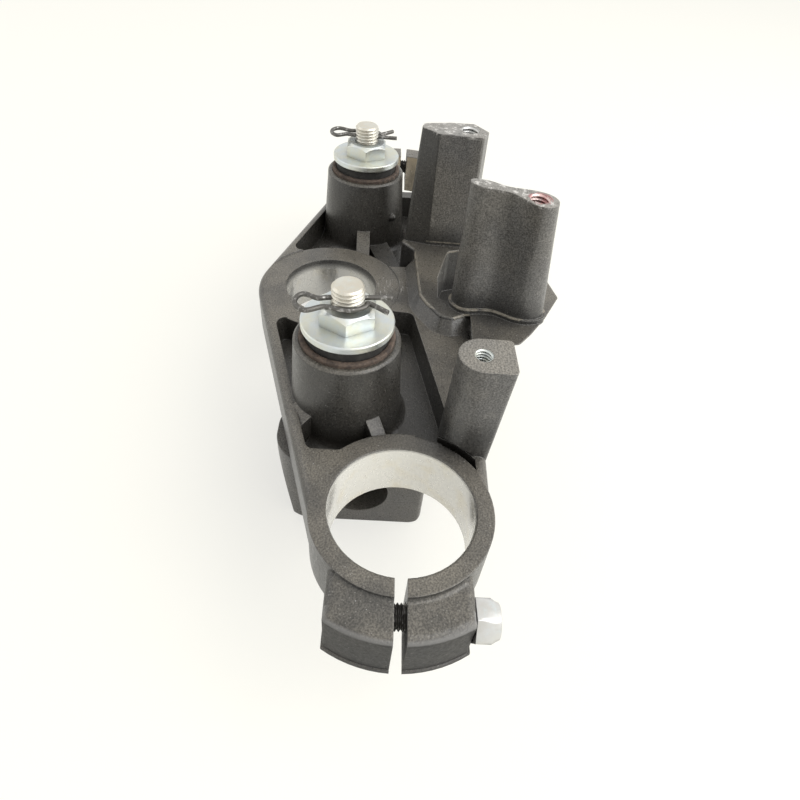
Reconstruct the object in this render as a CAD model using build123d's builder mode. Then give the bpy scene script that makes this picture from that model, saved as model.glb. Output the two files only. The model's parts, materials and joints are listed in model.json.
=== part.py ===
"""Upper triple clamp of a motorcycle, lying on its handlebar caps with its underside up."""

import os

from build123d import *

os.makedirs("parts", exist_ok=True)

# Frame: origin on the stem axis at its machined face, +X right of the bike, +Y rear, +Z up
SIDES = {"left": -1, "right": 1}
FLOOR_UP = (Align.CENTER, Align.CENTER, Align.MIN)
HANG_DOWN = (Align.CENTER, Align.CENTER, Align.MAX)

# Plate of the fork bridge
PLATE_TOP = 0.5
PLATE_BOTTOM = -19.0
PLATE_H = PLATE_TOP - PLATE_BOTTOM
EDGE_ROUND = 3.0
UNDER_ROUND = 2.0
STEM_BORE_R = 17.8
STEM_FACE_R = 27.2
STEM_OUT_R = 28.4
FRONT_X = 28.0
FRONT_Y = -44.7
FRONT_R = 10.5

# Fork rings with split lugs
FORK_X = 103.5
FORK_Y = -28.5
FORK_BORE_R = 20.5
BORE_BREAK = 0.6
RING_R = 25.8
LUG_R = 36.5
LUG_HALF = 19.0
LUG_TOP = -1.1
LUG_EDGE = 2.4
LUG_COVE = 1.6
LUG_LIP = 0.5
SLOT_W = 3.3
PINCH_X = FORK_X + LUG_R - 9.5
PINCH_Z = -8.0
PINCH_R = 3.5
PINCH_FLATS = 11.0
PINCH_HEAD_H = 6.4
PINCH_LENGTH = 30.0
PINCH_SEAT_Y = FORK_Y - LUG_HALF
PINCH_FREE = 0.3
PINCH_HEAD_TURN = 113.6

# Damper bosses
BOSS_X = 57.5
BOSS_Y = -10.0
BOSS_TOP = 21.8
SHELL_IN_R = 12.7
SHELL_WALL = 1.9
SHELL_R = SHELL_IN_R + SHELL_WALL
BOSS_R = SHELL_R + 1.8
BOSS_FOOT_R = BOSS_R + 1.8
SHELL_TOP = 23.2
SHELL_SEAT = 12.0
NUB_R = 1.7
NUB_Z = 6.2
NUB_TURN = 227.8

# Pockets and ribs of the casting
POCKET_FLOOR = -9.5
POCKET_RING_R = 27.5
POCKET_DRAFT = -4.0
# Ribs of a boss on the left: angle, width, reach, height at the boss, height at the far end
RIBS = [
    (211, 4.6, 24.0, 3.0, -2.5), (133, 8.0, 21.5, 1.5, -0.6),
    (-2, 5.6, 31.0, 2.0, -4.0), (-24, 9.0, 36.0, -5.0, -7.5),
]

# Raised pad, posts and pocket round the ignition lock
PAD_TOP = 6.0
PAD_SLOPE = 38.0
NOSE_H = 5.0
NOSE_UNDERCUT = 55.0
LOCK_X = 4.0
LOCK_Y = -62.0
LOCK_FLOOR = -14.0
LOCK_BOSS_R = 16.0
LOCK_BOSS_FOOT_R = 12.5
LOCK_HOLE_R = 10.5
POST_FOOT_STEP = 0.9
POST_FOOT_H = 1.8
POST_TOP = 53.0
POST_HOLE_R = 3.4
POST_HOLE_DEEP = 12.0
SMALL_X = 76.3
SMALL_Y = -47.8
SMALL_R = 7.0
SMALL_FRONT = -56.6
SMALL_FOOT_R = 7.6
SMALL_FOOT_Y = -47.0
SMALL_FOOT_FRONT = -54.4
SMALL_TOP = 34.0
SMALL_HOLE_R = 2.6
SMALL_HOLE_DEEP = 16.0
RELIEF_FLOOR = -4.0
RELIEF_REACH = 3.7
RELIEF_H = 4.5

# Rubber-mounted stud with its stack
STUD_R = 4.85
STUD_TOP = 40.6
STUD_BOTTOM = -25.5
COLLAR_R = 7.5
COLLAR_FREE = 0.2
WASHER_R = 14.0
WASHER_H = 2.4
WASHER_TOP = 28.8
WASHER_BOTTOM = WASHER_TOP - WASHER_H
NUT_FLATS = 16.0
NUT_H = 5.4
DAMPER_FLANGE_R = 16.0
DAMPER_SPLIT = 2.0
CLIP_Z = 36.1
CLIP_WIRE_R = 0.75
CLIP_HOLE_R = CLIP_WIRE_R + 0.1
CLIP_TURN = {"left": 6.0, "right": 0.0}

# Handlebar holder and cap
HOLDER_W = 30.0
HOLDER_FRONT = -39.5
HOLDER_REAR = 13.8
HOLDER_REAR_FOOT = 8.2
HOLDER_TOP = -22.0
PARTING = -41.7
CAP_BOTTOM = -55.0
BAR_R = 11.1
BAR_Y = -15.2
BAR_Z = -37.4
HOLDER_ROUND = 2.0
HOLDER_END_R = 13.0
HOLDER_REAR_ROUND = 8.0
HOLDER_FRONT_ROUND = 5.0
CAP_BOLT_R = 3.0
CAP_BOLT_REACH = 15.4
CAP_BOLT_END = -27.0
CAP_HEAD_R = 5.0
CAP_HEAD_H = 6.0
CAP_HEAD_FREE = 0.4
CAP_SEAT = -45.0


def save(piece, node):
    """Name the solid and write it as one node."""
    piece.part.label = node
    export_step(piece.part, f"parts/{node}.step")


# One split lug, right-hand side
with BuildPart() as lug:
    with BuildSketch(Plane.XY.offset(PLATE_BOTTOM)):
        with Locations((FORK_X, FORK_Y)):
            Circle(LUG_R)
        with Locations((FORK_X + LUG_R / 2, FORK_Y)):
            Rectangle(LUG_R, 2 * LUG_HALF, mode=Mode.INTERSECT)
    extrude(amount=LUG_TOP - PLATE_BOTTOM)
    fillet(lug.edges().filter_by(GeomType.LINE).group_by(Axis.X)[-1], 1.5)
    fillet(lug.faces().sort_by(Axis.Z)[-1].edges().sort_by(Axis.X)[1:], LUG_EDGE)
    with BuildSketch(Plane.XY.offset(PLATE_BOTTOM)):
        with Locations((FORK_X, FORK_Y)):
            Circle(LUG_R + LUG_LIP)
        with Locations((FORK_X + LUG_R / 2, FORK_Y)):
            Rectangle(LUG_R + 2, 2 * (LUG_HALF + LUG_LIP), mode=Mode.INTERSECT)
    extrude(amount=1.2)
    with BuildSketch(Plane.XZ.offset(-FORK_Y)):
        with BuildLine():
            wall = Polyline(
                (FORK_X + RING_R + LUG_COVE, LUG_TOP), (FORK_X + RING_R - 1, LUG_TOP),
                (FORK_X + RING_R - 1, LUG_TOP + LUG_COVE), (FORK_X + RING_R, LUG_TOP + LUG_COVE),
            )
            RadiusArc(wall @ 1, wall @ 0, -LUG_COVE)
        make_face()
    fork_axis = Axis((FORK_X, FORK_Y, 0), (0, 0, 1))
    revolve(axis=fork_axis, revolution_arc=40)
    mirror(about=Plane.XZ.offset(-FORK_Y))

# Damper boss, turned about its own axis with a flared foot
with BuildPart() as boss_turning:
    with BuildSketch(Plane.XZ):
        with BuildLine():
            outline = Polyline(
                (0, BOSS_TOP), (BOSS_R - 0.7, BOSS_TOP), (BOSS_R, BOSS_TOP - 0.7),
                (BOSS_FOOT_R, POCKET_FLOOR + 3),
            )
            foot = TangentArc(outline @ 1, (BOSS_FOOT_R + 2.6, POCKET_FLOOR - 0.2), tangent=outline % 1)
            Polyline(foot @ 1, (BOSS_FOOT_R + 2.6, POCKET_FLOOR - 3), (0, POCKET_FLOOR - 3), (0, BOSS_TOP))
        make_face()
    revolve(axis=Axis.Z)

# Core of the cast pocket round one boss, right-hand side
POCKET_OUTLINE = [(15.6, -22), (16.4, -31.7), (70, -42.3), (84, -40), (83.5, -0.5), (27, 16.9), (15, 15)]
with BuildPart() as core:
    with BuildSketch(Plane.XY.offset(POCKET_FLOOR)) as pocket:
        Polygon(*POCKET_OUTLINE, align=None)
        with Locations((FORK_X, FORK_Y)):
            Circle(POCKET_RING_R, mode=Mode.SUBTRACT)
        Circle(STEM_FACE_R + 0.6, mode=Mode.SUBTRACT)
        fillet(pocket.vertices(), 2.0)
    extrude(amount=12.0, taper=POCKET_DRAFT)

# Raised rim round the lock pocket
RIM_OUTLINE = [
    (27, -27), (21, -32.3), (-11, -34.3), (-16, -36.8), (-23.3, -41.6), (-24.6, -46), (-22, -50.5),
    (-12, -56), (30, -56), (39, -50), (37, -32),
]
with BuildPart() as rim:
    with BuildSketch(Plane.XY.offset(PLATE_BOTTOM + 5)) as rim_face:
        Polygon(*RIM_OUTLINE, align=None)
        fillet(rim_face.vertices(), 2.0)
    extrude(amount=PAD_TOP - PLATE_BOTTOM - 5)
    fillet(rim.faces().sort_by(Axis.Z)[-1].edges(), 1.0)

# Bank that slopes from the rim to the plate, left of the right-hand post
with BuildPart() as bank:
    with BuildSketch(Plane.XY.offset(PAD_TOP - 1)) as bank_face:
        Polygon(*RIM_OUTLINE, align=None)
        fillet(bank_face.vertices(), 2.0)
    extrude(amount=PLATE_TOP - PAD_TOP, taper=-PAD_SLOPE)
    with Locations((15, FORK_Y)):
        Box(60, 120, 60, align=(Align.MIN, Align.CENTER, Align.CENTER), mode=Mode.SUBTRACT)

# Nose flange in front of the plate, undercut all round
NOSE_OUTLINE = [
    (-22, -52.8), (-37.5, -52.4), (-39, -60), (-37, -69.2), (-31, -74), (-21, -80.7), (-7, -88.3),
    (8, -85), (24, -74), (36, -58), (36, -50),
]
with BuildPart() as nose:
    with BuildSketch(Plane.XY.offset(PAD_TOP)) as nose_face:
        Polygon(*NOSE_OUTLINE, align=None)
        fillet(nose_face.vertices(), 2.5)
    extrude(amount=-NOSE_H, taper=NOSE_UNDERCUT)

# Pocket that takes the body of the lock
LOCK_OUTLINE = [(-14, -41.2), (1.5, -41.6), (21, -46.5), (25, -58), (16, -74), (-4, -79), (-14, -74)]
with BuildPart() as lock_core:
    with BuildSketch(Plane.XY.offset(LOCK_FLOOR)) as lock_face:
        Polygon(*LOCK_OUTLINE, align=None)
        fillet(lock_face.vertices(), 3.0)
    extrude(amount=PAD_TOP - LOCK_FLOOR + 1)

# Sections of the two tall posts, at the pad and at the top
NEAR_FOOT = [
    (-17.5, -46.6), (-20.2, -50), (-19.8, -60), (-23.4, -67.6), (-24.4, -74), (-21, -79.6),
    (-15, -78.5), (-11.5, -70), (-11.5, -60), (-10, -51), (-12.5, -46.5),
]
NEAR_HEAD = [
    (-16, -46.8), (-18.2, -51), (-19.8, -57.7), (-25.2, -63.2), (-28.3, -68), (-26, -72.2),
    (-21.4, -72.4), (-17.4, -67), (-15.6, -57.4), (-12, -50), (-12.8, -46),
]
FAR_FOOT = [(27.5, -28), (25.4, -38.5), (25.4, -55.5), (33, -58), (40, -52), (38, -41), (34, -29)]
FAR_HEAD = [(27.2, -31), (22, -37.2), (21.2, -53.6), (27, -56), (34, -51), (33.5, -42), (31, -32)]
HEAD_HOLES = [(-22.4, -67), (28, -49)]


def widened(points, step):
    """Points of a closed anticlockwise outline, each moved outward by a step."""
    moved = []
    for index, point in enumerate(points):
        before = Vector(*points[index - 1])
        after = Vector(*points[(index + 1) % len(points)])
        outward = (after - before).normalized().cross(Vector(0, 0, 1))
        moved.append(Vector(*point) + outward * step)
    return moved


# Fork bridge, one casting
with BuildPart() as bridge:
    # Plate between the rings, the stem and the front corners
    with BuildSketch(Plane.XY.offset(PLATE_BOTTOM)):
        Circle(STEM_OUT_R)
        with Locations((FORK_X, FORK_Y), (-FORK_X, FORK_Y)):
            Circle(RING_R - 0.5)
        with Locations((FRONT_X, FRONT_Y), (-FRONT_X, FRONT_Y)):
            Circle(FRONT_R)
        make_hull()
    extrude(amount=PLATE_H)
    fillet(bridge.faces().sort_by(Axis.Z)[-1].edges(), EDGE_ROUND)
    fillet(bridge.faces().sort_by(Axis.Z)[0].edges(), UNDER_ROUND)
    # Pockets, then the lock housing with its own pocket
    add(core.part, mode=Mode.SUBTRACT)
    mirror(core.part, about=Plane.YZ, mode=Mode.SUBTRACT)
    add(rim.part)
    add(bank.part)
    add(nose.part)
    with Locations((LOCK_X, LOCK_Y, PLATE_BOTTOM)):
        Cone(LOCK_BOSS_FOOT_R, LOCK_BOSS_R, PAD_TOP - PLATE_BOTTOM - 2, align=FLOOR_UP)
    add(lock_core.part, mode=Mode.SUBTRACT)
    # Rings and lugs
    with Locations((FORK_X, FORK_Y, PLATE_BOTTOM), (-FORK_X, FORK_Y, PLATE_BOTTOM)):
        Cylinder(RING_R, PLATE_H, align=FLOOR_UP)
    add(lug.part)
    mirror(lug.part, about=Plane.YZ)
    # Bosses with flared feet and ribs
    for side in SIDES.values():
        for angle, width, reach, high, low in RIBS:
            along = Vector(1, 0).rotate(Axis.Z, angle)
            along = Vector(-side * along.X, along.Y)
            foot = Plane((side * BOSS_X, BOSS_Y), x_dir=along, z_dir=along.cross(Vector(0, 0, 1)))
            with BuildSketch(foot):
                Polygon(
                    (BOSS_R - 2, POCKET_FLOOR - 2), (reach, POCKET_FLOOR - 2), (reach, low), (BOSS_R, high),
                    (BOSS_R - 2, high), align=None,
                )
            extrude(amount=width / 2, both=True)
        with Locations((side * BOSS_X, BOSS_Y)):
            add(boss_turning.part)
    # Casting nub on the right-hand boss
    with Locations(Location((BOSS_X, BOSS_Y, NUB_Z), (0, 0, NUB_TURN))):
        with Locations((BOSS_R + 0.9, 0)):
            Sphere(NUB_R)
    # Tall posts, the left one rounded on a low step and the right one with flat faces
    with BuildSketch(Plane.XY.offset(PAD_TOP - 1)):
        with BuildLine():
            Spline(*widened(NEAR_FOOT, POST_FOOT_STEP), periodic=True)
        make_face()
    extrude(amount=POST_FOOT_H + 1)
    for level, section in ((PAD_TOP, NEAR_FOOT), (POST_TOP, NEAR_HEAD)):
        with BuildSketch(Plane.XY.offset(level)):
            with BuildLine():
                Spline(*section, periodic=True)
            make_face()
    loft()
    for level, section in ((PAD_TOP - 3, FAR_FOOT), (POST_TOP, FAR_HEAD)):
        with BuildSketch(Plane.XY.offset(level)) as flat_section:
            Polygon(*section, align=None)
            fillet(flat_section.vertices(), 1.5)
    loft()
    # Short threaded posts
    for side in SIDES.values():
        for level, radius, middle, front in (
            (-2, SMALL_FOOT_R, SMALL_FOOT_Y, SMALL_FOOT_FRONT), (SMALL_TOP, SMALL_R, SMALL_Y, SMALL_FRONT),
        ):
            with BuildSketch(Plane.XY.offset(level)) as post_section:
                with BuildLine():
                    back = CenterArc((side * SMALL_X, middle), radius, 0, 180)
                    Polyline(back @ 1, (side * SMALL_X - radius, front), (side * SMALL_X + radius, front), back @ 0)
                make_face()
                fillet(post_section.vertices().sort_by(Axis.Y)[:2], 1.5)
        loft()
        with Locations((side * SMALL_X, SMALL_Y, SMALL_TOP)):
            Cylinder(SMALL_HOLE_R, SMALL_HOLE_DEEP, align=HANG_DOWN, mode=Mode.SUBTRACT)
    for x, y in HEAD_HOLES:
        with Locations((x, y, POST_TOP)):
            Cylinder(POST_HOLE_R, POST_HOLE_DEEP, align=HANG_DOWN, mode=Mode.SUBTRACT)
    # Crescent relief between each ring and its short post
    for side in SIDES.values():
        with BuildSketch(Plane.XY.offset(RELIEF_FLOOR)):
            with Locations((side * (FORK_X - 1.8), FORK_Y - 1.4)):
                Circle(RING_R + 0.6)
            with Locations((side * (FORK_X - RING_R), FORK_Y - RING_R / 2)):
                Rectangle(44.0, 18.0, mode=Mode.INTERSECT)
            with Locations((side * FORK_X, FORK_Y)):
                Circle(RING_R + 0.4, mode=Mode.SUBTRACT)
        extrude(amount=PLATE_TOP - RELIEF_FLOOR, mode=Mode.SUBTRACT)
        with Locations((side * FORK_X, FORK_Y, PLATE_TOP)):
            Cone(RING_R + RELIEF_REACH, RING_R - 0.8, RELIEF_H, align=FLOOR_UP, mode=Mode.SUBTRACT)
    # Stem bore, its spot face and the lock hole
    Cylinder(STEM_FACE_R, 2.0, align=FLOOR_UP, mode=Mode.SUBTRACT)
    Cylinder(STEM_BORE_R, 60.0, mode=Mode.SUBTRACT)
    with Locations((LOCK_X, LOCK_Y, LOCK_FLOOR)):
        Cylinder(LOCK_HOLE_R, 40.0, mode=Mode.SUBTRACT)
    for side in SIDES.values():
        # Fork bore with broken edges, slot and pinch bolt hole
        with Locations((side * FORK_X, FORK_Y, PLATE_BOTTOM)):
            Cylinder(FORK_BORE_R, PLATE_H, align=FLOOR_UP, mode=Mode.SUBTRACT)
            Cone(FORK_BORE_R + BORE_BREAK, FORK_BORE_R, BORE_BREAK, align=FLOOR_UP, mode=Mode.SUBTRACT)
        with Locations((side * FORK_X, FORK_Y, PLATE_TOP)):
            Cone(FORK_BORE_R, FORK_BORE_R + BORE_BREAK, BORE_BREAK, align=HANG_DOWN, mode=Mode.SUBTRACT)
        with Locations((side * (FORK_X + LUG_R), FORK_Y, PLATE_BOTTOM / 2)):
            Box(2 * (LUG_R - FORK_BORE_R + 2), SLOT_W, 60.0, mode=Mode.SUBTRACT)
        with Locations(Location((side * PINCH_X, FORK_Y, PINCH_Z), (90, 0, 0))):
            Cylinder(PINCH_R + PINCH_FREE, 30.0, align=FLOOR_UP, mode=Mode.SUBTRACT)
        with Locations(Location((side * PINCH_X, PINCH_SEAT_Y, PINCH_Z), (90, 0, 0))):
            Cylinder(PINCH_R, PINCH_LENGTH + 1.5, align=HANG_DOWN, mode=Mode.SUBTRACT)
        # Boss bore with the wider seat of the shell
        with Locations((side * BOSS_X, BOSS_Y, 0)):
            Cylinder(SHELL_IN_R, 100.0, mode=Mode.SUBTRACT)
        with Locations((side * BOSS_X, BOSS_Y, SHELL_SEAT)):
            Cylinder(SHELL_R, 30.0, align=FLOOR_UP, mode=Mode.SUBTRACT)
save(bridge, "fork_bridge")

# Bends of the clip past its straight leg: along the leg, across from it
CLIP_LEG_END = -12.6
CLIP_BEND = [
    (8.5, 0.4), (12.6, -1.6), (15.0, 2.4), (12.2, 5.9), (7.4, 4.4), (2.6, 5.6),
    (-0.4, 6.0), (-5.0, 4.0), (-10.8, 7.0),
]

# Block of a handlebar clamp, seen from the side, before it is parted into holder and cap
with BuildPart() as clamp_block:
    with BuildSketch(Plane.YZ) as clamp_side:
        Polygon(
            (HOLDER_FRONT, HOLDER_TOP), (HOLDER_FRONT, CAP_BOTTOM), (HOLDER_REAR_FOOT, CAP_BOTTOM),
            (HOLDER_REAR, HOLDER_TOP), align=None,
        )
        foot_front, foot_rear = clamp_side.vertices().group_by(Axis.Y)[0].sort_by(Axis.X)
        fillet(foot_front, HOLDER_FRONT_ROUND)
        fillet(foot_rear, HOLDER_REAR_ROUND)
    extrude(amount=HOLDER_W / 2, both=True)
    with BuildSketch(Plane.XY.offset(CAP_BOTTOM)) as clamp_plan:
        with Locations((0, (HOLDER_FRONT + HOLDER_REAR) / 2)):
            Rectangle(HOLDER_W, HOLDER_REAR - HOLDER_FRONT)
        fillet(clamp_plan.vertices().group_by(Axis.Y)[-1], HOLDER_END_R)
        fillet(clamp_plan.vertices().group_by(Axis.Y)[0], HOLDER_ROUND)
    extrude(amount=HOLDER_TOP - CAP_BOTTOM, mode=Mode.INTERSECT)
    with Locations(Location((0, BAR_Y, BAR_Z), (0, 90, 0))):
        Cylinder(BAR_R, 2 * HOLDER_W, mode=Mode.SUBTRACT)

for name, side in SIDES.items():
    boss = (side * BOSS_X, BOSS_Y)

    # Pinch bolt with a hexagon head at the front
    with BuildPart() as pinch:
        with BuildSketch(Plane.XZ.offset(-PINCH_SEAT_Y)):
            with Locations((side * PINCH_X, PINCH_Z)):
                RegularPolygon(PINCH_FLATS / 2, 6, major_radius=False, rotation=PINCH_HEAD_TURN)
        extrude(amount=PINCH_HEAD_H)
        with Locations(Location((side * PINCH_X, PINCH_SEAT_Y, PINCH_Z), (90, 0, 0))):
            Cone(
                PINCH_FLATS / 2 + 7.5, PINCH_FLATS / 2 - 0.4, PINCH_HEAD_H,
                align=FLOOR_UP, mode=Mode.INTERSECT,
            )
            Cylinder(PINCH_R, PINCH_LENGTH, align=HANG_DOWN)
    save(pinch, f"pinch_bolt_{name}")

    # Rusty shell of the nut-side bush
    with BuildPart() as shell:
        with Locations((*boss, SHELL_SEAT)):
            Cylinder(SHELL_R, SHELL_TOP - SHELL_SEAT, align=FLOOR_UP)
            Cylinder(SHELL_IN_R, SHELL_TOP - SHELL_SEAT, align=FLOOR_UP, mode=Mode.SUBTRACT)
        fillet(shell.faces().sort_by(Axis.Z)[-1].edges(), 0.7)
    save(shell, f"bush_shell_{name}")

    # Rubber damper under the washer
    with BuildPart() as nut_damper:
        with Locations((*boss, DAMPER_SPLIT)):
            Cylinder(SHELL_IN_R, WASHER_BOTTOM - DAMPER_SPLIT, align=FLOOR_UP)
            Cylinder(COLLAR_R, WASHER_BOTTOM - DAMPER_SPLIT, align=FLOOR_UP, mode=Mode.SUBTRACT)
    save(nut_damper, f"damper_nut_side_{name}")

    # Flanged rubber damper against the holder
    with BuildPart() as bar_damper:
        with Locations((*boss, HOLDER_TOP)):
            Cylinder(DAMPER_FLANGE_R, PLATE_BOTTOM - HOLDER_TOP, align=FLOOR_UP)
            Cylinder(SHELL_IN_R, DAMPER_SPLIT - HOLDER_TOP, align=FLOOR_UP)
            Cylinder(COLLAR_R, DAMPER_SPLIT - HOLDER_TOP, align=FLOOR_UP, mode=Mode.SUBTRACT)
    save(bar_damper, f"damper_bar_side_{name}")

    # Steel collar that takes the clamping load
    with BuildPart() as collar:
        with Locations((*boss, HOLDER_TOP)):
            Cylinder(COLLAR_R, WASHER_BOTTOM - HOLDER_TOP, align=FLOOR_UP)
            Cylinder(STUD_R + COLLAR_FREE, WASHER_BOTTOM - HOLDER_TOP, align=FLOOR_UP, mode=Mode.SUBTRACT)
    save(collar, f"collar_{name}")

    # Large washer
    with BuildPart() as washer:
        with Locations((*boss, WASHER_BOTTOM)):
            Cylinder(WASHER_R, WASHER_H, align=FLOOR_UP)
            Cylinder(STUD_R + COLLAR_FREE, WASHER_H, align=FLOOR_UP, mode=Mode.SUBTRACT)
        fillet(washer.edges().filter_by(GeomType.CIRCLE).sort_by(SortBy.RADIUS)[-2:], 0.5)
    save(washer, f"washer_{name}")

    # Hex nut with chamfered corners
    with BuildPart() as nut:
        with BuildSketch(Plane.XY.offset(WASHER_TOP)):
            with Locations(boss):
                RegularPolygon(NUT_FLATS / 2, 6, major_radius=False)
        extrude(amount=NUT_H)
        with Locations((*boss, WASHER_TOP)):
            Cone(NUT_FLATS / 2 + 6.5, NUT_FLATS / 2 - 0.6, NUT_H, align=FLOOR_UP, mode=Mode.INTERSECT)
            Cylinder(STUD_R, NUT_H, align=FLOOR_UP, mode=Mode.SUBTRACT)
    save(nut, f"nut_{name}")

    # Stud with a cross hole for the clip
    with BuildPart() as stud:
        with Locations((*boss, STUD_BOTTOM)):
            Cylinder(STUD_R, STUD_TOP - STUD_BOTTOM, align=FLOOR_UP)
        chamfer(stud.faces().sort_by(Axis.Z)[-1].edges(), 0.8)
        with Locations(Location((*boss, CLIP_Z), (0, 0, CLIP_TURN[name]))):
            Cylinder(CLIP_HOLE_R, 20.0, rotation=(90, 0, 0), mode=Mode.SUBTRACT)
    save(stud, f"stud_{name}")

    # Spring clip of round wire, straight leg through the stud
    with BuildPart() as bent_wire:
        with BuildLine() as path:
            leg = Line((0, CLIP_LEG_END), (0, 5.5))
            bend = [(side * across, along) for along, across in CLIP_BEND]
            Spline(leg @ 1, *bend, tangents=[(0, 1), (side * 0.9, -1)])
        with BuildSketch(Plane(origin=path.line @ 0, z_dir=path.line % 0)):
            Circle(CLIP_WIRE_R)
        sweep()
    with BuildPart() as clip:
        with Locations(Location((*boss, CLIP_Z), (0, 0, CLIP_TURN[name]))):
            add(bent_wire.part)
    save(clip, f"clip_{name}")

    # Handlebar holder
    with BuildPart() as holder:
        with Locations((side * BOSS_X, 0)):
            add(clamp_block.part)
        split(bisect_by=Plane.XY.offset(PARTING), keep=Keep.TOP)
        with Locations((*boss, STUD_BOTTOM)):
            Cylinder(STUD_R, 20.0, align=FLOOR_UP, mode=Mode.SUBTRACT)
        for reach in (-CAP_BOLT_REACH, CAP_BOLT_REACH):
            with Locations((side * BOSS_X, BAR_Y + reach, CAP_BOLT_END)):
                Cylinder(CAP_BOLT_R, 40.0, align=HANG_DOWN, mode=Mode.SUBTRACT)
    save(holder, f"holder_{name}")

    # Holder cap, the lowest piece
    with BuildPart() as cap:
        with Locations((side * BOSS_X, 0)):
            add(clamp_block.part)
        split(bisect_by=Plane.XY.offset(PARTING), keep=Keep.BOTTOM)
        for reach in (-CAP_BOLT_REACH, CAP_BOLT_REACH):
            with Locations((side * BOSS_X, BAR_Y + reach, CAP_SEAT)):
                Cylinder(CAP_BOLT_R + CAP_HEAD_FREE, 20.0, align=FLOOR_UP, mode=Mode.SUBTRACT)
                Cylinder(CAP_HEAD_R + CAP_HEAD_FREE, 20.0, align=HANG_DOWN, mode=Mode.SUBTRACT)
    save(cap, f"cap_{name}")

    # Cap bolts, heads sunk in the cap
    for end, reach in (("front", -CAP_BOLT_REACH), ("rear", CAP_BOLT_REACH)):
        with BuildPart() as cap_bolt:
            with Locations((side * BOSS_X, BAR_Y + reach, CAP_SEAT)):
                Cylinder(CAP_HEAD_R, CAP_HEAD_H, align=HANG_DOWN)
                Cylinder(CAP_BOLT_R, CAP_BOLT_END - CAP_SEAT, align=FLOOR_UP)
            with BuildSketch(Plane.XY.offset(CAP_SEAT - CAP_HEAD_H)):
                with Locations((side * BOSS_X, BAR_Y + reach)):
                    RegularPolygon(2.5, 6, major_radius=False)
            extrude(amount=3.5, mode=Mode.SUBTRACT)
            chamfer(cap_bolt.faces().sort_by(Axis.Z)[0].edges().filter_by(GeomType.CIRCLE), 0.6)
        save(cap_bolt, f"cap_bolt_{end}_{name}")
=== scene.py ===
"""Looks of the triple clamp: coated casting, plated fasteners with real threads, and a white studio."""

import json
import math

import bmesh
import bpy
from mathutils import Matrix, Vector


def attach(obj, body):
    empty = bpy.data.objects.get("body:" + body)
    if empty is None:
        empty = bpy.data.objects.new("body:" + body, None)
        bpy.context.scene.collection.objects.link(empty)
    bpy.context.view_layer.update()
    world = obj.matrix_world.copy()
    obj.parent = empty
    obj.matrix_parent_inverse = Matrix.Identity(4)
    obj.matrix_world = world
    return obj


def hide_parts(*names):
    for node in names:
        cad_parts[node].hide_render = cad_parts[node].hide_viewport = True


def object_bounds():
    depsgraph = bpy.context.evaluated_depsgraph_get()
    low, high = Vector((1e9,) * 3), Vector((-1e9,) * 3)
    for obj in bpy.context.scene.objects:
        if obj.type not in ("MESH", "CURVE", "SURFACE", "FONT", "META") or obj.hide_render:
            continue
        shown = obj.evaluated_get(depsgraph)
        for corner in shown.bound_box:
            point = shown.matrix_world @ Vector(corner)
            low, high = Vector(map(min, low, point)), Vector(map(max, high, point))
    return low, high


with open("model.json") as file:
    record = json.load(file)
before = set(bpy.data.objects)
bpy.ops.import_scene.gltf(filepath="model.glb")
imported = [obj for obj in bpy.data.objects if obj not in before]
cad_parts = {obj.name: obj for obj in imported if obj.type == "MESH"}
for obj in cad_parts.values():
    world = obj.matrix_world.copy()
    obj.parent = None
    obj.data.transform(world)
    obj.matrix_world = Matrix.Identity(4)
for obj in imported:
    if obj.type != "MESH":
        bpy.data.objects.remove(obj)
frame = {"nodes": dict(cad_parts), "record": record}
cad_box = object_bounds()
MM = 0.001
SIDES = {"left": -1, "right": 1}

# Places and sizes taken from the CAD model, in millimetres
STEM = (0.0, 0.0)
STEM_BORE_R = 17.8
FORK_X = 103.5
FORK_Y = -28.5
FORK_BORE_R = 20.5
LUG_ENDS_FROM = 131.0
PAD_TOP = 6.0
PINCH_X = 130.5
PINCH_Z = -8.0
PINCH_R = 3.5
PINCH_SEAT_Y = -47.5
PINCH_LENGTH = 30.0
PINCH_FLATS = 11.0
PINCH_HEAD_H = 6.4
PINCH_HEAD_TURN = 113.6
BOSS_X = 57.5
BOSS_Y = -10.0
STUD_R = 4.85
STUD_TOP = 40.6
STUD_BOTTOM = -25.5
SHORT_POST = (76.3, -47.8, 34.0)
SHORT_HOLE_R = 2.6
SHORT_HOLE_DEEP = 16.0
POST_TOP = 53.0
POSTS_FRONT = -30.0
TALL_POSTS = {"left": (-22.4, -67.0, POST_TOP), "right": (28.0, -49.0, POST_TOP)}
TALL_HOLE_R = 3.4
TALL_HOLE_DEEP = 12.0
LOCK_MIDDLE = (4.0, -60.0)
LOCK_REACH = 31.0
SCUFF_MIDDLE = (1.0, -22.5)

# Threads and bolt heads, in millimetres
STUD_PITCH = 1.25
STUD_THREAD_DEPTH = 0.62
STUD_THREAD_FROM = 26.0
STUD_CHAMFER = 0.8
PINCH_PITCH = 1.0
PINCH_THREAD_DEPTH = 0.55
PINCH_INTO_HEAD = 1.0
PINCH_THREAD_FROM = 12.0
PINCH_CHAMFER = 0.7
SHORT_PITCH = 1.0
SHORT_THREAD_DEPTH = 0.42
TALL_PITCH = 1.25
TALL_THREAD_DEPTH = 0.55
THREAD_RUN_OUT = 0.2
SLEEVE_GAP = 0.01
SLEEVE_WALL = 0.04
MOUTH_DEPTH = 0.6
MOUTH_SLOPE = 0.9
CROWN_INSET = 0.9

# Fineness of those meshes, and shares that set their form
STEPS_ROUND = 48
ROWS_PER_TURN = 10
FLANK_STEEPNESS = 1.35
CROWN_FROM = 0.6
SHARP_FROM_DEGREES = 38

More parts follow.
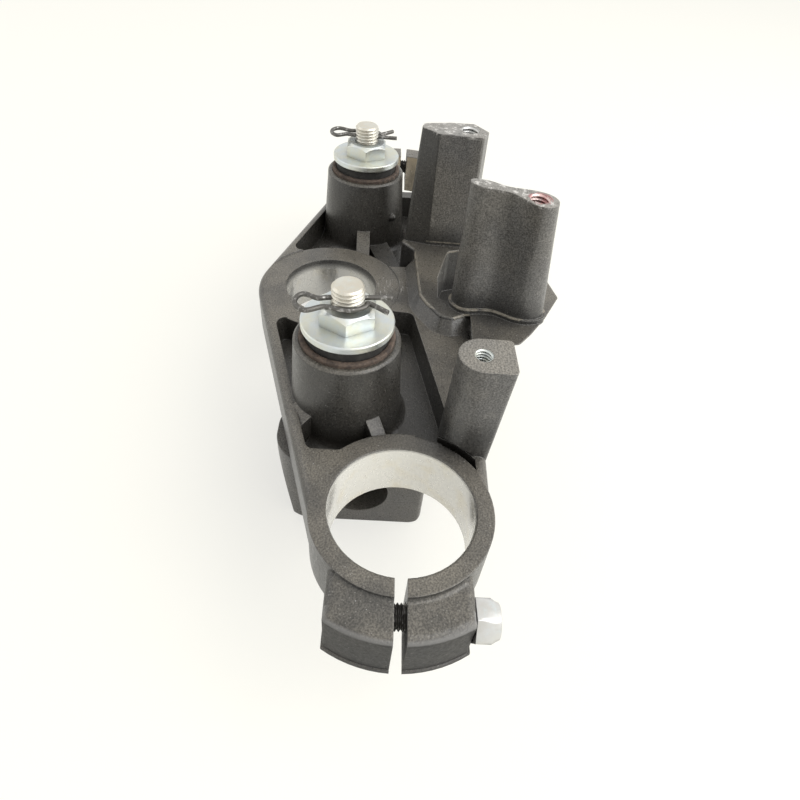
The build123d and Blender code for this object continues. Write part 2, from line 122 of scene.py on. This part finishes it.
# Finish of the black coat, with painted sheen and painted shade in it
CASTING_LEVEL = 0.046
CLAMP_LEVEL = 0.12
COAT_GLOSS = 0.60
COAT_EDGE = 0.6
POCKET_DEPTH = 32.0
POST_SHEEN = 2.3
LUG_END_SHADE = 0.58
LUG_END_ROUGHER = 0.30

# Tints that are not near grey
RED_RESIDUE = (0.34, 0.05, 0.06, 1.0)
BLUISH_ZINC = (0.64, 0.73, 0.76, 1.0)
DULL_ALUMINIUM = (0.70, 0.69, 0.65, 1.0)
BRIGHT_ALUMINIUM = (0.82, 0.81, 0.77, 1.0)
TARNISH = (0.72, 0.66, 0.52, 1.0)
RIGHT_RING_BROWN = (0.42, 0.35, 0.24, 1.0)
DARK_RUST = (0.060, 0.046, 0.038, 1.0)
PALE_RUST = (0.15, 0.110, 0.085, 1.0)
RUST_PIT = (0.05, 0.03, 0.02, 1.0)

# Floor and surroundings, the reach in metres
FLOOR_REACH = 4.0
FLOOR_BOUNCE = (0.40, 0.39, 0.36, 1.0)
FLOOR_SEEN = (0.97, 0.94, 0.79, 1.0)
FLOOR_WHITE = (1.0, 1.0, 0.995, 1.0)
FLOOR_WHITE_SHARE = 0.60
SKY_WHITE = (1.0, 0.995, 0.975, 1.0)
SKY_BRIGHT_SIDE = (0.6, -0.8, 0.0)
SKY_DIM_LEVEL = 0.40

# Camera of the photograph
CAMERA_AT = Vector((-194.15, -17.91, 135.43)) * MM
CAMERA_AIM = Vector((-61.46, -27.23, -0.24)) * MM
CAMERA_ROLL = 6.36
CAMERA_LENS = 26.25
CAMERA_SENSOR = 36.0
CAMERA_SHIFT = 0.0019
CAMERA_CLIP_START = 0.005


def connect(tree, target, inputs):
    """Sets inputs of a node, each from a value or from the socket that feeds it."""
    for socket, value in inputs.items():
        if isinstance(value, bpy.types.NodeSocket):
            tree.links.new(value, target.inputs[socket])
        else:
            target.inputs[socket].default_value = value


def node(tree, kind, inputs, **settings):
    """Adds one shader node with its settings and inputs."""
    made = tree.nodes.new(kind)
    for name, value in settings.items():
        setattr(made, name, value)
    connect(tree, made, inputs)
    return made


def maths(tree, operation, first, second=0.0):
    """One scalar sum."""
    return node(tree, "ShaderNodeMath", {0: first, 1: second}, operation=operation).outputs[0]


def times(tree, first, second):
    """Product of two values."""
    return maths(tree, "MULTIPLY", first, second)


def vectors(tree, operation, first, second=(0.0, 0.0, 0.0)):
    """One vector sum."""
    return node(tree, "ShaderNodeVectorMath", {0: first, 1: second}, operation=operation).outputs[0]


def dot(tree, first, second):
    """Dot product of two vectors."""
    return node(tree, "ShaderNodeVectorMath", {0: first, 1: second}, operation="DOT_PRODUCT").outputs["Value"]


def parts_of(tree, vector):
    """The X, Y and Z of a vector."""
    return node(tree, "ShaderNodeSeparateXYZ", {0: vector}).outputs


def fade(tree, value, start, end, low=0.0, high=1.0):
    """Smooth step of a value from low at start to high at end."""
    inputs = {"Value": value, "From Min": start, "From Max": end, "To Min": low, "To Max": high}
    return node(tree, "ShaderNodeMapRange", inputs, interpolation_type="SMOOTHSTEP").outputs[0]


def mix(tree, factor, first, second):
    """Blend of two colours."""
    return node(tree, "ShaderNodeMix", {0: factor, 6: first, 7: second}, data_type="RGBA").outputs[2]


def overlay(tree, colour, tint, mask, share):
    """A colour with a share of a tint laid over it where the mask is 1."""
    return mix(tree, times(tree, mask, share), colour, tint)


def scaled(tree, vector, factor):
    """A colour or vector made larger or smaller by a factor."""
    return node(tree, "ShaderNodeVectorMath", {0: vector, "Scale": factor}, operation="SCALE").outputs[0]


def grey(level, warmth):
    """An opaque near-neutral colour, warmer for a larger warmth."""
    return (level, level * (1 - 0.5 * warmth), level * (1 - 1.4 * warmth), 1.0)


def start_material(name):
    """A new material with its tree, shader and the object's place in millimetres."""
    made = bpy.data.materials.new(name)
    made.use_nodes = True
    tree = made.node_tree
    place = scaled(tree, node(tree, "ShaderNodeTexCoord", {}).outputs["Object"], 1 / MM)
    return made, tree, tree.nodes["Principled BSDF"], place


def noise(tree, place, scale, detail=3.0, roughness=0.55):
    """Noise of a number of features per millimetre."""
    inputs = {"Vector": place, "Scale": scale, "Detail": detail, "Roughness": roughness}
    return node(tree, "ShaderNodeTexNoise", inputs).outputs["Fac"]


def specks(tree, place, scale, size, share):
    """Small round dots in a share of the cells of a grid."""
    cells = node(tree, "ShaderNodeTexVoronoi", {"Vector": place, "Scale": scale}).outputs
    draw = node(tree, "ShaderNodeSeparateColor", {0: cells["Color"]}).outputs[0]
    return times(tree, fade(tree, cells["Distance"], size, size * 0.5), inside(tree, draw, share))


def facing(tree):
    """The X, Y and Z of the way that the surface looks."""
    return parts_of(tree, node(tree, "ShaderNodeNewGeometry", {}).outputs["Normal"])


def rounded_normal(tree, radius):
    """Normal of the surface with its edges rounded to a radius in millimetres."""
    return node(tree, "ShaderNodeBevel", {"Radius": radius * MM}, samples=6).outputs[0]


def edge_turn(tree, rounded):
    """How far a rounded normal turns from the true one."""
    true = node(tree, "ShaderNodeNewGeometry", {}).outputs["True Normal"]
    return maths(tree, "SUBTRACT", 1.0, dot(tree, rounded, true))


def reach(tree, place, centre):
    """Distance from an upright line through the centre."""
    parts = parts_of(tree, place)
    squares = []
    for axis, middle in zip(("X", "Y"), centre):
        gap = maths(tree, "SUBTRACT", parts[axis], middle)
        squares.append(times(tree, gap, gap))
    return maths(tree, "SQRT", maths(tree, "ADD", *squares))


def inside(tree, value, limit):
    """1 below a limit and 0 above it."""
    return maths(tree, "LESS_THAN", value, limit)


def beyond(tree, value, limit):
    """1 above a limit and 0 below it."""
    return maths(tree, "GREATER_THAN", value, limit)


def between(tree, value, low, high):
    """1 from low to high and 0 elsewhere."""
    return times(tree, beyond(tree, value, low), inside(tree, value, high))


def recess(tree, depth):
    """1 on open faces and 0 deep in pockets, felt over a depth in millimetres."""
    return node(tree, "ShaderNodeAmbientOcclusion", {"Distance": depth * MM}, samples=4).outputs["AO"]


def bore_normal(tree, place, centre):
    """Normal of a round upright bore, straight to its axis."""
    across = vectors(tree, "SUBTRACT", (*centre, 0.0), place)
    level = vectors(tree, "MULTIPLY", across, (1.0, 1.0, 0.0))
    return vectors(tree, "NORMALIZE", level)


def add_bump(tree, shader, heights, normal):
    """Chains height fields, each with its depth in millimetres, onto a normal."""
    for height, depth in heights:
        inputs = {"Height": height, "Distance": depth * MM, "Strength": 1.0, "Normal": normal}
        normal = node(tree, "ShaderNodeBump", inputs).outputs[0]
    connect(tree, shader, {"Normal": normal})


def coated_surface(tree, place, level, sheen_lift=1.0):
    """Colour, roughness, grain and rounded normal of the black coat; the colour holds painted shade in the
    pockets and painted light on up-facing tops and edges.
    """
    broad = fade(tree, noise(tree, place, 0.03, 3.0), 0.35, 0.65)
    colour = mix(tree, broad, grey(level * 0.85, 0.04), grey(level * 1.1, 0.12))
    blotch = fade(tree, noise(tree, place, 0.30, 5.0, 0.65), 0.48, 0.75)
    colour = overlay(tree, colour, grey(level * 2.0, 0.10), blotch, 0.30)
    # Painted sheen: the colour made paler by this factor where light catches the posts
    colour = scaled(tree, colour, sheen_lift)
    # Dust on the open faces that look up, and painted light on them: these tops are painted paler where they
    # face up and lie open
    openness = recess(tree, POCKET_DEPTH)
    patches = fade(tree, noise(tree, place, 0.04, 4.0, 0.6), 0.32, 0.62, 0.08, 0.42)
    dust_and_top_light = times(tree, fade(tree, facing(tree)["Z"], 0.30, 0.97), patches)
    dust_and_top_light = times(tree, dust_and_top_light, fade(tree, openness, 0.45, 0.85))
    colour = mix(tree, dust_and_top_light, colour, grey(0.26, 0.20))
    # Grit, small pale dots painted as glints of sparkle, and pale specks of dust
    colour = scaled(tree, colour, fade(tree, noise(tree, place, 2.0, 2.0, 0.6), 0.35, 0.65, 0.60, 1.42))
    colour = overlay(tree, colour, grey(0.36, 0.08), specks(tree, place, 1.4, 0.30, 0.30), 0.32)
    colour = overlay(tree, colour, grey(0.45, 0.05), specks(tree, place, 0.50, 0.11, 0.17), 0.55)
    # Edges painted paler: partly rubbed wear, partly a painted edge highlight; this falls on creases as well
    # as on outer edges
    rounded = rounded_normal(tree, COAT_EDGE)
    ragged = times(tree, noise(tree, place, 0.6, 5.0, 0.7), 0.14)
    worn_and_highlit = fade(tree, maths(tree, "ADD", edge_turn(tree, rounded), ragged), 0.15, 0.36)
    colour = overlay(tree, colour, grey(0.30, 0.10), worn_and_highlit, 0.50)
    # Painted shade deep in the pockets: the colour darkened where the faces are enclosed
    colour = mix(tree, fade(tree, openness, 0.08, 0.50), grey(level * 0.40, 0.22), colour)
    rough = fade(tree, noise(tree, place, 0.8, 4.0), 0.3, 0.7, 0.26, 0.38)
    grain = noise(tree, place, 1.3, 3.0, 0.6)
    return colour, rough, grain, rounded


def black_clamp():
    """Satin black of the handlebar holders and caps, with the coat's painted shade and painted light."""
    made, tree, shader, place = start_material("clamp_black")
    colour, rough, grain, rounded = coated_surface(tree, place, CLAMP_LEVEL)
    connect(tree, shader, {"Base Color": colour, "Roughness": rough})
    add_bump(tree, shader, [(grain, 0.05)], rounded)
    return made


def post_sheen(tree, spot):
    """Painted sheen: how much paler the coat is painted on the posts, where light catches them, but not on
    the rear side of the right-hand one, which faces away from the light.
    """
    post = times(tree, fade(tree, spot["Z"], 5.0, 22.0), inside(tree, spot["Y"], POSTS_FRONT))
    left_hand = inside(tree, spot["X"], 0.0)
    sheen_side = maths(tree, "MAXIMUM", fade(tree, facing(tree)["Y"], 0.40, 0.05), left_hand)
    return fade(tree, times(tree, post, sheen_side), 0.0, 1.0, 1.0, 1.0 + POST_SHEEN)


def lug_ends(tree, spot, colour, rough):
    """Rougher ends of the lugs, their colour darkened as painted shade, below a painted highlight along their
    top edge.
    """
    upward = facing(tree)["Z"]
    lugs = beyond(tree, maths(tree, "ABSOLUTE", spot["X"]), LUG_ENDS_FROM)
    end = times(tree, lugs, fade(tree, upward, 0.60, 0.10))
    # Painted shade on the end faces
    colour = scaled(tree, colour, fade(tree, end, 0.0, 1.0, 1.0, LUG_END_SHADE))
    rough = maths(tree, "ADD", rough, times(tree, end, LUG_END_ROUGHER))
    # Painted highlight band where the lug top rounds over into the end
    painted_highlight = times(tree, fade(tree, upward, 0.10, 0.40), fade(tree, upward, 0.90, 0.60))
    colour = overlay(tree, colour, grey(0.34, 0.02), times(tree, lugs, painted_highlight), 0.45)
    return colour, rough


def post_wear(tree, place, height, colour):
    """Rubbed tops and chipped top edges of the tall posts, and red thread lock round the left one's hole."""
    top = beyond(tree, height, POST_TOP - 0.05)
    rubbed = times(tree, top, fade(tree, noise(tree, place, 0.5, 5.0, 0.7), 0.36, 0.60))
    colour = overlay(tree, colour, grey(0.32, 0.08), rubbed, 0.55)
    chips = fade(tree, noise(tree, place, 0.38, 5.0, 0.7), 0.53, 0.60)
    chips = times(tree, chips, fade(tree, height, POST_TOP - 1.2, POST_TOP - 0.3))
    colour = overlay(tree, colour, grey(0.62, 0.06), chips, 0.85)
    stain = times(tree, top, fade(tree, reach(tree, place, TALL_POSTS["left"][:2]), 4.3, 3.6))
    stain = times(tree, stain, fade(tree, noise(tree, place, 0.5, 3.0), 0.42, 0.56))
    return overlay(tree, colour, RED_RESIDUE, stain, 0.7)


def rim_wear_and_highlights(tree, place, height, colour):
    """Pale edges of the rim round the lock, partly rubbed wear and partly a painted edge highlight, and a
    painted highlight along the step at the left post's foot.
    """
    near_lock = inside(tree, reach(tree, place, LOCK_MIDDLE), LOCK_REACH)
    rim = between(tree, height, PAD_TOP - 0.9, PAD_TOP - 0.05)
    # Painted highlight along the step at the left post's foot
    foot = between(tree, height, PAD_TOP + 1.3, PAD_TOP + 1.9)
    edge = times(tree, near_lock, maths(tree, "MAXIMUM", rim, foot))
    edge = times(tree, edge, fade(tree, noise(tree, place, 0.4, 4.0, 0.6), 0.30, 0.55))
    return overlay(tree, colour, grey(0.30, 0.20), edge, 0.75)


def stem_scuffs(tree, place, colour):
    """Pale scuffs beside the stem."""
    near = fade(tree, reach(tree, place, SCUFF_MIDDLE), 8.5, 4.0)
    stretched = vectors(tree, "MULTIPLY", place, (0.25, 1.6, 1.0))
    streaks = fade(tree, noise(tree, stretched, 0.9, 4.0, 0.7), 0.56, 0.66)
    return overlay(tree, colour, grey(0.5, 0.05), times(tree, near, streaks), 0.8)


def bare_bores(tree, place, height, rounded):
    """Where the casting is machined bare, and the normal with those bores made truly round."""
    bare = inside(tree, reach(tree, place, STEM), STEM_BORE_R + 0.15)
    bare = times(tree, bare, fade(tree, height, -1.2, -5.0))
    normal = mix(tree, bare, rounded, bore_normal(tree, place, STEM))
    for sign in SIDES.values():
        fork = (sign * FORK_X, FORK_Y)
        bore = inside(tree, reach(tree, place, fork), FORK_BORE_R + 0.30)
        bare = maths(tree, "MAXIMUM", bare, bore)
        normal = mix(tree, bore, normal, bore_normal(tree, place, fork))
    return bare, normal


def turned_aluminium(tree, place, spot):
    """Tarnished metal, darker in the stem bore and browner in the right-hand ring, and its turning rings."""
    along_axis = node(tree, "ShaderNodeCombineXYZ", {"Z": spot["Z"]}).outputs[0]
    rings = noise(tree, along_axis, 2.0, 2.0)
    metal = mix(tree, rings, DULL_ALUMINIUM, BRIGHT_ALUMINIUM)
    patches = fade(tree, noise(tree, place, 0.12, 4.0, 0.6), 0.48, 0.70)
    metal = overlay(tree, metal, TARNISH, patches, 0.5)
    metal = scaled(tree, metal, fade(tree, reach(tree, place, STEM), 25.0, 40.0, 0.72, 1.0))
    metal = mix(tree, fade(tree, spot["X"], 40.0, 60.0, 0.0, 0.7), metal, RIGHT_RING_BROWN)
    return metal, rings


def black_casting():
    """Coated casting with painted sheen and rubbed tops on the posts, a rim with rubbed wear and painted
    highlights, lug ends painted darker as shade, scuffs and bare machined bores.
    """
    made, tree, shader, place = start_material("cast_black")
    spot = parts_of(tree, place)
    height = spot["Z"]
    colour, rough, grain, rounded = coated_surface(tree, place, CASTING_LEVEL, post_sheen(tree, spot))
    colour, rough = lug_ends(tree, spot, colour, rough)
    colour = post_wear(tree, place, height, colour)
    colour = rim_wear_and_highlights(tree, place, height, colour)
    colour = stem_scuffs(tree, place, colour)
    bare, normal = bare_bores(tree, place, height, rounded)
    metal, rings = turned_aluminium(tree, place, spot)
    connect(tree, shader, {
        "Base Color": mix(tree, bare, colour, metal),
        "Metallic": times(tree, bare, 0.6),
        "Roughness": maths(tree, "ADD", rough, times(tree, bare, -0.10)),
        "Specular IOR Level": COAT_GLOSS,
    })
    coat_grain = times(tree, grain, maths(tree, "SUBTRACT", 1.0, bare))
    bore_rings = times(tree, rings, bare)
    add_bump(tree, shader, [(coat_grain, 0.09), (bore_rings, 0.01)], normal)
    return made


def plated(name, base, tint, roughness, streak):
    """Plated steel with cloudy tints, fine turning marks, small dark pits and painted shade in its recesses.
    """
    made, tree, shader, place = start_material(name)
    cloud = fade(tree, noise(tree, place, 0.16, 4.0, 0.6), 0.35, 0.65)
    colour = mix(tree, cloud, base, tint)
    bluish = fade(tree, noise(tree, place, 0.45, 5.0, 0.7), 0.50, 0.72)
    colour = overlay(tree, colour, BLUISH_ZINC, bluish, 0.4)
    colour = overlay(tree, colour, grey(0.30, 0.1), specks(tree, place, 0.7, 0.14, 0.12), 0.35)
    # Painted shade: the colour darkened in recesses and where parts meet
    colour = scaled(tree, colour, fade(tree, recess(tree, 4.0), 0.25, 0.85, 0.60, 1.0))
    marks = noise(tree, place, streak, 2.0, 0.6)
    rough = fade(tree, marks, 0.3, 0.7, roughness * 0.8, roughness * 1.3)
    connect(tree, shader, {"Base Color": colour, "Roughness": rough, "Metallic": 0.9})
    add_bump(tree, shader, [(marks, 0.008)], rounded_normal(tree, 0.35))
    return made


def rusty_steel():
    """Brown surface rust with darker pits."""
    made, tree, shader, place = start_material("rusty_steel")
    patch = fade(tree, noise(tree, place, 0.5, 6.0, 0.7), 0.35, 0.65)
    colour = mix(tree, patch, DARK_RUST, PALE_RUST)
    colour = overlay(tree, colour, RUST_PIT, specks(tree, place, 1.2, 0.3, 0.3), 0.6)
    connect(tree, shader, {"Base Color": colour, "Roughness": 0.8, "Metallic": 0.1})
    add_bump(tree, shader, [(noise(tree, place, 2.2, 5.0, 0.7), 0.12)], rounded_normal(tree, 0.3))
    return made


def black_rubber():
    """Aged matte rubber."""
    made, tree, shader, place = start_material("rubber")
    bloom = fade(tree, noise(tree, place, 0.3, 5.0, 0.65), 0.40, 0.75)
    colour = mix(tree, bloom, grey(0.022, 0.05), grey(0.060, 0.10))
    connect(tree, shader, {"Base Color": colour, "Roughness": 0.75})
    add_bump(tree, shader, [(noise(tree, place, 3.0, 3.0), 0.03)], rounded_normal(tree, 0.5))
    return made


def spring_wire():
    """Dark oiled spring wire with rubbed bright spots."""
    made, tree, shader, place = start_material("spring_steel")
    rub = fade(tree, noise(tree, place, 0.7, 4.0, 0.6), 0.52, 0.68)
    colour = mix(tree, rub, grey(0.13, 0.08), grey(0.40, 0.04))
    rough = fade(tree, rub, 0.0, 1.0, 0.45, 0.3)
    grain = node(tree, "ShaderNodeBump", {"Height": noise(tree, place, 4.0), "Distance": 0.02 * MM})
    inputs = {"Base Color": colour, "Roughness": rough, "Metallic": 0.85, "Normal": grain.outputs[0]}
    connect(tree, shader, inputs)
    return made


def ring(shape, height, sizes, turn=0.0):
    """Points round the axis at a height, one for each radius, at equal steps of angle."""
    points = []
    for step, size in enumerate(sizes):
        angle = 2 * math.pi * step / len(sizes) + turn
        points.append(shape.verts.new((size * math.cos(angle), size * math.sin(angle), height)))
    return points


def bridge_rings(shape, rings):
    """Faces between each ring of points and the next."""
    for lower, painted_highlight in zip(rings, rings[1:]):
        for step in range(len(lower)):
            after = (step + 1) % len(lower)
            shape.faces.new((lower[step], lower[after], painted_highlight[after], painted_highlight[step]))


def close_ends(shape, rings):
    """Flat faces over the last ring and under the first."""
    shape.faces.new(rings[-1])
    shape.faces.new(reversed(rings[0]))


def thread_sizes(height, radius, depth, pitch):
    """Radii round a screw thread at a height, with flat crests and roots."""
    sizes = []
    for step in range(STEPS_ROUND):
        phase = (height / pitch - step / STEPS_ROUND) % 1.0
        flank = FLANK_STEEPNESS * abs(2 * phase - 1) - (FLANK_STEEPNESS - 1) / 2
        sizes.append(radius - depth * min(1.0, max(0.0, flank)))
    return sizes


def threaded_rod(radius, depth, pitch, low, thread_low, high, chamfer):
    """Mesh of a rod along Z with a chamfered, threaded top, in millimetres."""
    shape = bmesh.new()
    rings = [ring(shape, height, [radius] * STEPS_ROUND) for height in (low, thread_low - THREAD_RUN_OUT)]
    count = int((high - thread_low) / pitch * ROWS_PER_TURN)
    for row in range(count + 1):
        height = thread_low + (high - thread_low) * row / count
        limit = radius - chamfer + (high - height)
        sizes = [min(size, limit) for size in thread_sizes(height, radius, depth, pitch)]
        rings.append(ring(shape, height, sizes))
    bridge_rings(shape, rings)
    close_ends(shape, rings)
    return shape


def threaded_hole(radius, depth, pitch, deep):
    """Mesh of a thin tapped sleeve, its mouth at height 0, in millimetres."""
    shape = bmesh.new()
    outer = radius - SLEEVE_GAP
    inner = outer - SLEEVE_WALL
    rings = [ring(shape, height, [outer] * STEPS_ROUND) for height in (0.0, -deep)]
    count = int(deep / pitch * ROWS_PER_TURN)
    for row in range(count + 1):
        height = -deep + deep * row / count
        sizes = [inner - depth + (radius - size) for size in thread_sizes(height, radius, depth, pitch)]
        if height > -MOUTH_DEPTH:
            sizes = [max(size, inner + height * MOUTH_SLOPE) for size in sizes]
        rings.append(ring(shape, height, sizes))
    bridge_rings(shape, rings + rings[:1])
    return shape


def hexagon_head(flats, height, turn):
    """Mesh of a hexagon head on top of height 0, its crown chamfered to a circle, in millimetres."""
    shape = bmesh.new()
    sixth = math.pi / 3
    corner = flats / 2 / math.cos(sixth / 2)
    rings = []
    for level, limit in ((0.0, corner), (height * CROWN_FROM, corner), (height, flats / 2 - CROWN_INSET)):
        sizes = []
        for step in range(STEPS_ROUND):
            from_corner = (2 * math.pi * step / STEPS_ROUND + sixth / 2) % sixth - sixth / 2
            sizes.append(min(limit, flats / 2 / math.cos(sixth / 2 - abs(from_corner))))
        rings.append(ring(shape, level, sizes, math.radians(turn)))
    bridge_rings(shape, rings)
    close_ends(shape, rings)
    return shape


def piece(name, shape, place, material):
    """Turns a millimetre mesh into an object at a place in millimetres, fixed to the part."""
    bmesh.ops.recalc_face_normals(shape, faces=shape.faces)
    mesh = bpy.data.meshes.new(name)
    shape.to_mesh(mesh)
    shape.free()
    mesh.transform(Matrix.Diagonal((MM, MM, MM, 1.0)))
    mesh.transform(place)
    mesh.shade_smooth()
    mesh.set_sharp_from_angle(angle=math.radians(SHARP_FROM_DEGREES))
    mesh.materials.append(material)
    made = bpy.data.objects.new(name, mesh)
    bpy.context.scene.collection.objects.link(made)
    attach(made, "root")
    return made


def at(x, y, z):
    """Placement at a point given in millimetres."""
    return Matrix.Translation(Vector((x, y, z)) * MM)


def seen_directly(tree):
    """1 for rays from the camera and for those that mirrors and glass send on, else 0."""
    path = node(tree, "ShaderNodeLightPath", {}).outputs
    seen = maths(tree, "MAXIMUM", path["Is Camera Ray"], path["Is Glossy Ray"])
    return maths(tree, "MAXIMUM", seen, path["Is Transmission Ray"])


def pale_floor(level):
    """Floor that looks white and keeps a light shadow."""
    mesh = bpy.data.meshes.new("floor")
    signs = ((-1, -1), (1, -1), (1, 1), (-1, 1))
    mesh.from_pydata([(x * FLOOR_REACH, y * FLOOR_REACH, level) for x, y in signs], [], [(0, 1, 2, 3)])
    floor = bpy.data.objects.new("floor", mesh)
    bpy.context.scene.collection.objects.link(floor)
    finish = bpy.data.materials.new("floor")
    finish.use_nodes = True
    tree = finish.node_tree
    lit = tree.nodes["Principled BSDF"]
    seen = seen_directly(tree)
    colour = mix(tree, seen, FLOOR_BOUNCE, FLOOR_SEEN)
    connect(tree, lit, {"Base Color": colour, "Roughness": 0.9, "Specular IOR Level": 0.1})
    white = node(tree, "ShaderNodeEmission", {"Color": FLOOR_WHITE, "Strength": 1.0})
    share = times(tree, seen, FLOOR_WHITE_SHARE)
    shown = node(tree, "ShaderNodeMixShader", {0: share, 1: lit.outputs[0], 2: white.outputs[0]})
    connect(tree, tree.nodes["Material Output"], {"Surface": shown.outputs[0]})
    mesh.materials.append(finish)


def white_surroundings():
    """White world that gives less light from behind the camera and from its left."""
    world = bpy.data.worlds.new("studio")
    bpy.context.scene.world = world
    world.use_nodes = True
    sky = world.node_tree
    heading = node(sky, "ShaderNodeTexCoord", {}).outputs["Generated"]
    glow = fade(sky, dot(sky, heading, SKY_BRIGHT_SIDE), -0.75, 0.15, SKY_DIM_LEVEL, 1.0)
    strength = maths(sky, "MAXIMUM", glow, seen_directly(sky))
    connect(sky, sky.nodes["Background"], {"Color": SKY_WHITE, "Strength": strength})


def lamp(name, place, aim, size, watts):
    """A soft square lamp, placed and sized in metres."""
    light = bpy.data.lights.new(name, "AREA")
    light.size = size
    light.energy = watts
    made = bpy.data.objects.new(name, light)
    made.location = place
    made.rotation_euler = (Vector(aim) - Vector(place)).to_track_quat("-Z", "Y").to_euler()
    bpy.context.scene.collection.objects.link(made)


def photo_camera():
    """Camera at the photograph's place."""
    lens = bpy.data.cameras.new("camera")
    lens.sensor_width = CAMERA_SENSOR
    lens.lens = CAMERA_LENS
    lens.shift_x = CAMERA_SHIFT
    lens.clip_start = CAMERA_CLIP_START
    camera = bpy.data.objects.new("camera", lens)
    bpy.context.scene.collection.objects.link(camera)
    aimed = (CAMERA_AIM - CAMERA_AT).to_track_quat("-Z", "Y").to_matrix().to_4x4()
    roll = Matrix.Rotation(math.radians(CAMERA_ROLL), 4, "Z")
    camera.matrix_world = Matrix.Translation(CAMERA_AT) @ aimed @ roll
    bpy.context.scene.camera = camera


# Finishes of the CAD nodes
ZINC = plated(
    "zinc", base=(0.64, 0.68, 0.69, 1.0), tint=(0.69, 0.69, 0.60, 1.0), roughness=0.38, streak=1.6
)
STUD_STEEL = plated(
    "stud_steel", base=(0.70, 0.69, 0.63, 1.0), tint=(0.66, 0.62, 0.53, 1.0), roughness=0.38, streak=2.5
)
RED_STEEL = plated(
    "residue_steel", base=(0.60, 0.34, 0.33, 1.0), tint=(0.78, 0.66, 0.62, 1.0), roughness=0.45, streak=2.0
)
BOLT_STEEL = plated(
    "bolt_steel", base=(0.65, 0.65, 0.64, 1.0), tint=(0.59, 0.58, 0.55, 1.0), roughness=0.36, streak=2.0
)
SPRING_STEEL = spring_wire()
FINISHES = {
    "cast_black": black_casting(),
    "clamp_black": black_clamp(),
    "zinc": ZINC,
    "stud_steel": STUD_STEEL,
    "bolt_steel": BOLT_STEEL,
    "rusty_steel": rusty_steel(),
    "rubber": black_rubber(),
    "spring_steel": SPRING_STEEL,
}
for subpart in frame["record"]["subparts"]:
    for place in frame["nodes"][subpart["node"]].material_slots:
        place.material = FINISHES[subpart["material_slot"]]

# Threaded studs, pinch bolts and tapped holes
AWAY_FROM_HEAD = Matrix.Rotation(math.radians(-90), 4, "X")
TOWARDS_HEAD = Matrix.Rotation(math.radians(90), 4, "X")
SLEEVE_FINISHES = {"left": RED_STEEL, "right": BOLT_STEEL}
for name, sign in SIDES.items():
    heights = (STUD_BOTTOM, STUD_THREAD_FROM, STUD_TOP)
    rod = threaded_rod(STUD_R, STUD_THREAD_DEPTH, STUD_PITCH, *heights, STUD_CHAMFER)
    stud = piece(f"stud_thread_{name}", rod, at(sign * BOSS_X, BOSS_Y, 0), STUD_STEEL)
    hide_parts(f"stud_{name}")

    seat = at(sign * PINCH_X, PINCH_SEAT_Y, PINCH_Z)
    heights = (-PINCH_INTO_HEAD, PINCH_THREAD_FROM, PINCH_LENGTH)
    rod = threaded_rod(PINCH_R, PINCH_THREAD_DEPTH, PINCH_PITCH, *heights, PINCH_CHAMFER)
    shank = piece(f"pinch_thread_{name}", rod, seat @ AWAY_FROM_HEAD, SPRING_STEEL)
    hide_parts(f"pinch_bolt_{name}")
    head = hexagon_head(PINCH_FLATS, PINCH_HEAD_H, PINCH_HEAD_TURN)
    piece(f"pinch_head_{name}", head, seat @ TOWARDS_HEAD, BOLT_STEEL)

    x, y, z = SHORT_POST
    sleeve = threaded_hole(SHORT_HOLE_R, SHORT_THREAD_DEPTH, SHORT_PITCH, SHORT_HOLE_DEEP)
    piece(f"short_post_thread_{name}", sleeve, at(sign * x, y, z), ZINC)
    sleeve = threaded_hole(TALL_HOLE_R, TALL_THREAD_DEPTH, TALL_PITCH, TALL_HOLE_DEEP)
    piece(f"tall_post_thread_{name}", sleeve, at(*TALL_POSTS[name]), SLEEVE_FINISHES[name])

# Studio and camera
pale_floor(cad_box[0][2])
white_surroundings()
lamp("key", place=(-0.30, -0.70, 0.72), aim=(0.0, -0.02, 0.0), size=1.0, watts=8.5)
lamp("left", place=(0.10, 0.75, 0.45), aim=(0.0, -0.02, 0.0), size=0.6, watts=0.8)
lamp("right", place=(0.0, -0.85, 0.22), aim=(0.0, -0.03, 0.02), size=0.7, watts=1.2)
photo_camera()

bpy.context.scene.view_settings.view_transform = "Standard"
